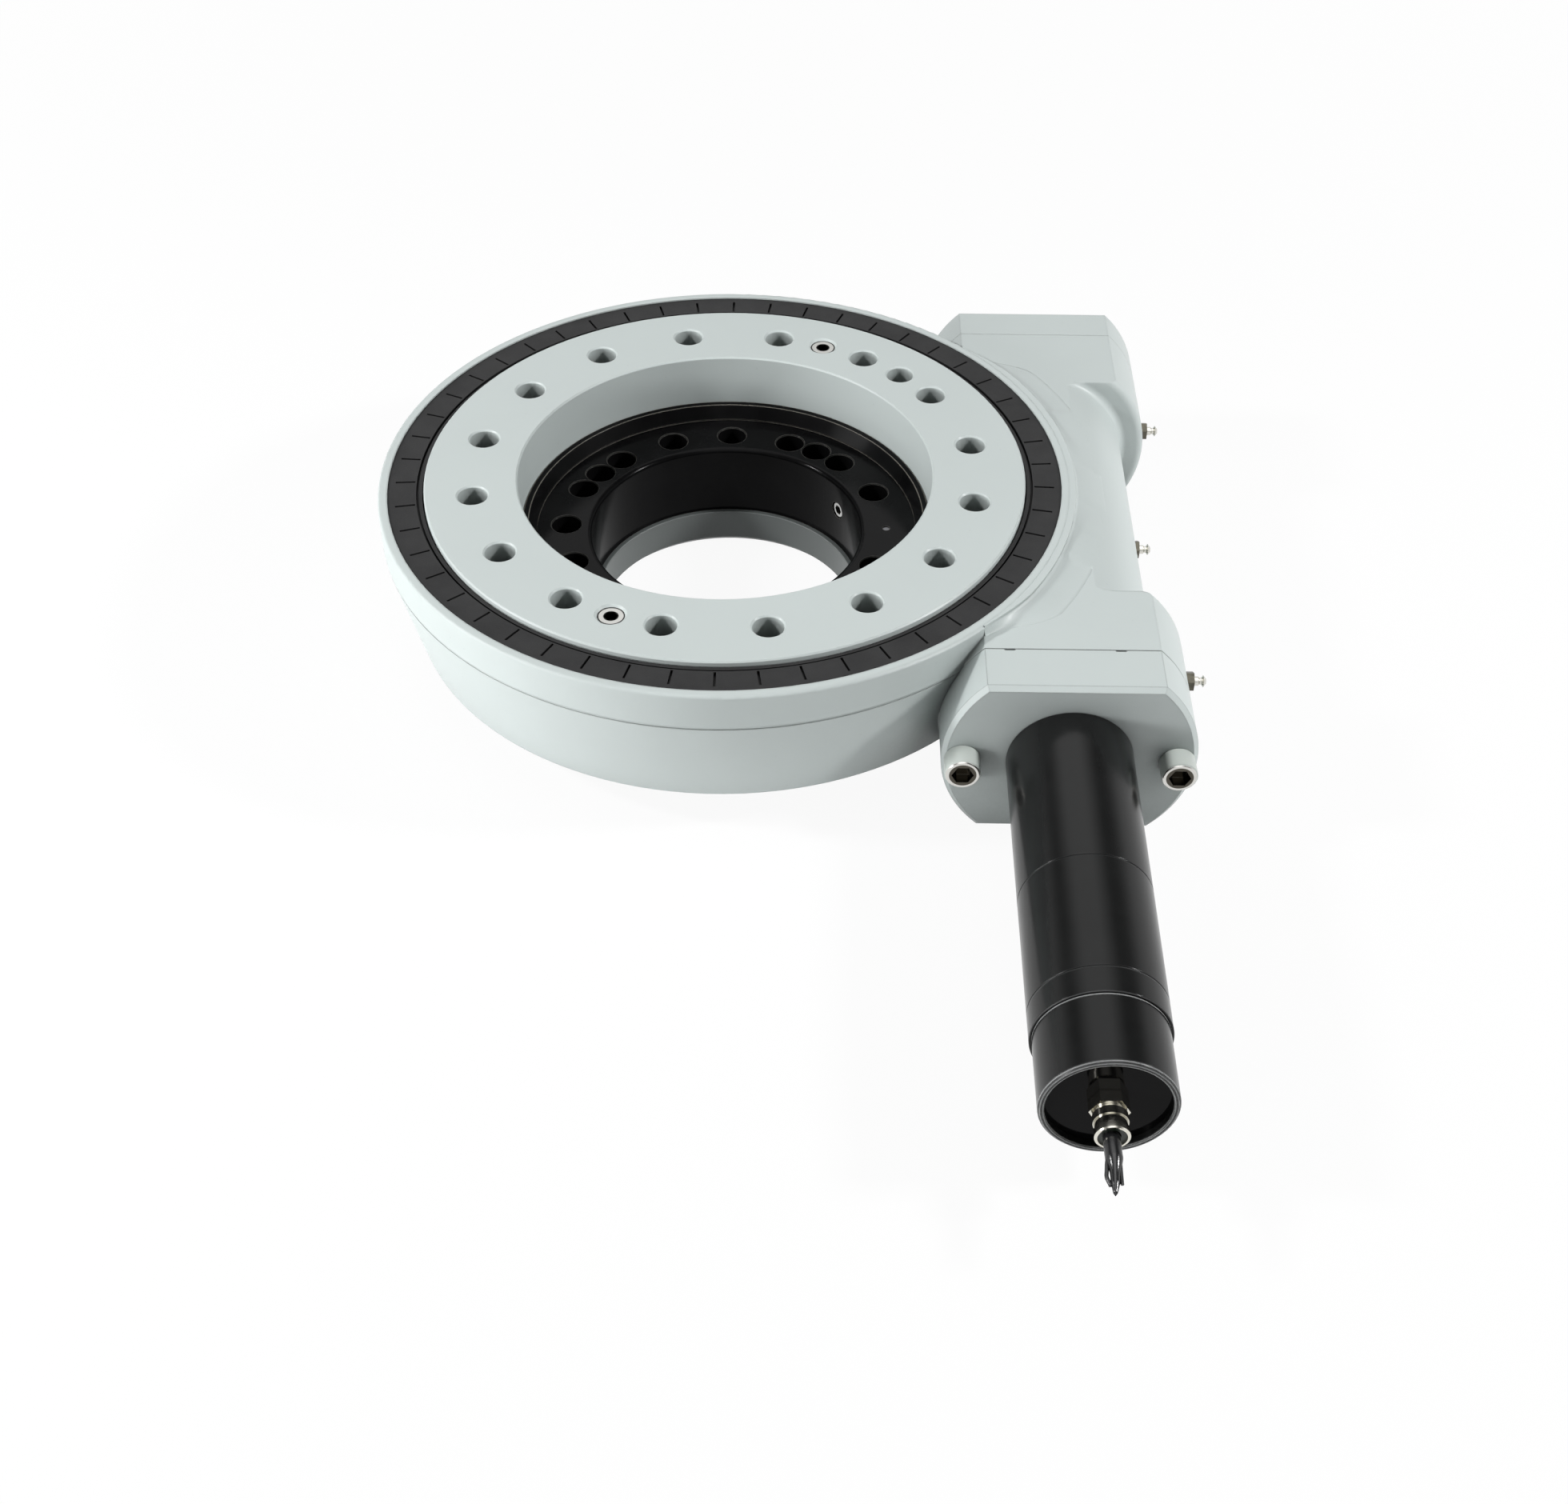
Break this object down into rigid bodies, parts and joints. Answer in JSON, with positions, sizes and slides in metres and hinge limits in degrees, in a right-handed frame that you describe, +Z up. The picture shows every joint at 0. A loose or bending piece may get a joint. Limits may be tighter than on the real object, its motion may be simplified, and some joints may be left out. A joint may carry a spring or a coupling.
{
  "type": "slewing drive",
  "caption": "Worm slewing drive: a toothed ring turns on balls in a round grey housing, driven by a worm across one side and a black planetary gearmotor.",
  "frame": {"origin": "centre of the base face, on the slewing axis", "axes": "+Z up along the slewing axis, +Y along the worm and away from the motor, +X towards the worm"},
  "size_m": [0.4324, 0.6141, 0.101],
  "materials": {
    "grey_paint": "satin paint",
    "black_steel": "black oxide, satin",
    "bright_steel": "ground",
    "zinc_steel": "zinc plated",
    "ball_steel": "polished",
    "seal_rubber": "matt",
    "black_rubber": "satin",
    "spacer_plastic": "natural",
    "worm_steel": "hardened and ground",
    "motor_black": "satin black",
    "end_plate_black": "gloss",
    "nickel_brass": "nickel plated",
    "bronze": "sintered",
    "magnet": "ferrite",
    "laminations": "varnished",
    "copper": "turned",
    "carbon": "graphite",
    "holder_plastic": "moulded",
    "cable_jacket": "satin"
  },
  "bodies": {
    "base": {"housing": "grey_paint", "inner_ring": "black_steel", "inner_ring_screws": "black_steel", "loading_plug": "bright_steel", "loading_plug_pin": "bright_steel", "bore_plug": "zinc_steel", "dust_seal": "seal_rubber", "lip_seal": "black_rubber", "floor_seal": "black_rubber", "rear_cover": "grey_paint", "rear_cover_screws": "black_steel", "rear_cover_oring": "black_rubber", "motor_flange": "grey_paint", "flange_screws": "zinc_steel", "gearbox_screws": "black_steel", "shaft_seal": "black_rubber", "front_bearing_cup": "bright_steel", "rear_bearing_cup": "bright_steel", "grease_nipples": "zinc_steel", "gearbox_case": "motor_black", "ring_gear": "worm_steel", "front_bell": "bright_steel", "motor_can": "motor_black", "rear_bell": "motor_black", "motor_bushes": "bronze", "field_magnets": "magnet", "brush_holders": "holder_plastic", "carbon_brushes": "carbon", "rear_cap": "motor_black", "end_plate": "end_plate_black", "gland_body": "nickel_brass", "gland_nut": "nickel_brass", "gland_grommet": "black_rubber", "motor_cable": "cable_jacket"},
    "slewing_ring": {"slewing_ring": "grey_paint", "ring_plugs": "bright_steel"},
    "ball_row": {"bearing_balls": "ball_steel", "ball_spacers": "spacer_plastic"},
    "worm": {"worm_shaft": "worm_steel", "front_bearing_cone": "bright_steel", "rear_bearing_cone": "bright_steel", "output_shaft": "worm_steel", "output_key": "bright_steel", "output_planet_pins": "bright_steel"},
    "front_roller_row": {"front_rollers": "ball_steel"},
    "rear_roller_row": {"rear_rollers": "ball_steel"},
    "input_carrier": {"input_carrier": "worm_steel", "input_planet_pins": "bright_steel"},
    "rotor": {"motor_shaft": "worm_steel", "armature": "laminations", "commutator": "copper"},
    "output_planet_1": {"output_planet_1": "worm_steel"},
    "output_planet_2": {"output_planet_2": "worm_steel"},
    "output_planet_3": {"output_planet_3": "worm_steel"},
    "input_planet_1": {"input_planet_1": "worm_steel"},
    "input_planet_2": {"input_planet_2": "worm_steel"},
    "input_planet_3": {"input_planet_3": "worm_steel"}
  },
  "joints": [
    {"name": "ring_slew", "type": "hinge", "parent": "base", "child": "slewing_ring", "pos_m": [0, 0, 0.101], "axis": [0, 0, 1], "continuous": true},
    {"name": "ball_orbit", "type": "hinge", "parent": "base", "child": "ball_row", "pos_m": [0, 0, 0.0425], "axis": [0, 0, 1], "continuous": true},
    {"name": "worm_spin", "type": "hinge", "parent": "base", "child": "worm", "pos_m": [0.176, 0, 0.047], "axis": [0, 1, 0], "continuous": true},
    {"name": "front_roller_orbit", "type": "hinge", "parent": "base", "child": "front_roller_row", "pos_m": [0.176, -0.122, 0.047], "axis": [0, 1, 0], "continuous": true},
    {"name": "rear_roller_orbit", "type": "hinge", "parent": "base", "child": "rear_roller_row", "pos_m": [0.176, 0.136, 0.047], "axis": [0, 1, 0], "continuous": true},
    {"name": "input_carrier_spin", "type": "hinge", "parent": "base", "child": "input_carrier", "pos_m": [0.176, -0.2145, 0.047], "axis": [0, 1, 0], "continuous": true},
    {"name": "rotor_spin", "type": "hinge", "parent": "base", "child": "rotor", "pos_m": [0.176, -0.29, 0.047], "axis": [0, 1, 0], "continuous": true},
    {"name": "output_planet_1_spin", "type": "hinge", "parent": "worm", "child": "output_planet_1", "pos_m": [0.191, -0.198, 0.047], "axis": [0, 1, 0], "continuous": true},
    {"name": "output_planet_2_spin", "type": "hinge", "parent": "worm", "child": "output_planet_2", "pos_m": [0.1685, -0.198, 0.03401], "axis": [0, 1, 0], "continuous": true},
    {"name": "output_planet_3_spin", "type": "hinge", "parent": "worm", "child": "output_planet_3", "pos_m": [0.1685, -0.198, 0.05999], "axis": [0, 1, 0], "continuous": true},
    {"name": "input_planet_1_spin", "type": "hinge", "parent": "input_carrier", "child": "input_planet_1", "pos_m": [0.191, -0.2283, 0.047], "axis": [0, 1, 0], "continuous": true},
    {"name": "input_planet_2_spin", "type": "hinge", "parent": "input_carrier", "child": "input_planet_2", "pos_m": [0.1685, -0.2283, 0.03401], "axis": [0, 1, 0], "continuous": true},
    {"name": "input_planet_3_spin", "type": "hinge", "parent": "input_carrier", "child": "input_planet_3", "pos_m": [0.1685, -0.2283, 0.05999], "axis": [0, 1, 0], "continuous": true}
  ],
  "couplings": [
    {"joint": "ball_orbit", "follows": "ring_slew", "ratio": 0.52643},
    {"joint": "worm_spin", "follows": "ring_slew", "ratio": -61},
    {"joint": "front_roller_orbit", "follows": "ring_slew", "ratio": -25.269},
    {"joint": "rear_roller_orbit", "follows": "ring_slew", "ratio": -25.269},
    {"joint": "input_carrier_spin", "follows": "ring_slew", "ratio": -305},
    {"joint": "rotor_spin", "follows": "ring_slew", "ratio": -1525},
    {"joint": "output_planet_1_spin", "follows": "ring_slew", "ratio": 162.67},
    {"joint": "output_planet_2_spin", "follows": "ring_slew", "ratio": 162.67},
    {"joint": "output_planet_3_spin", "follows": "ring_slew", "ratio": 162.67},
    {"joint": "input_planet_1_spin", "follows": "ring_slew", "ratio": 813.33},
    {"joint": "input_planet_2_spin", "follows": "ring_slew", "ratio": 813.33},
    {"joint": "input_planet_3_spin", "follows": "ring_slew", "ratio": 813.33}
  ]
}
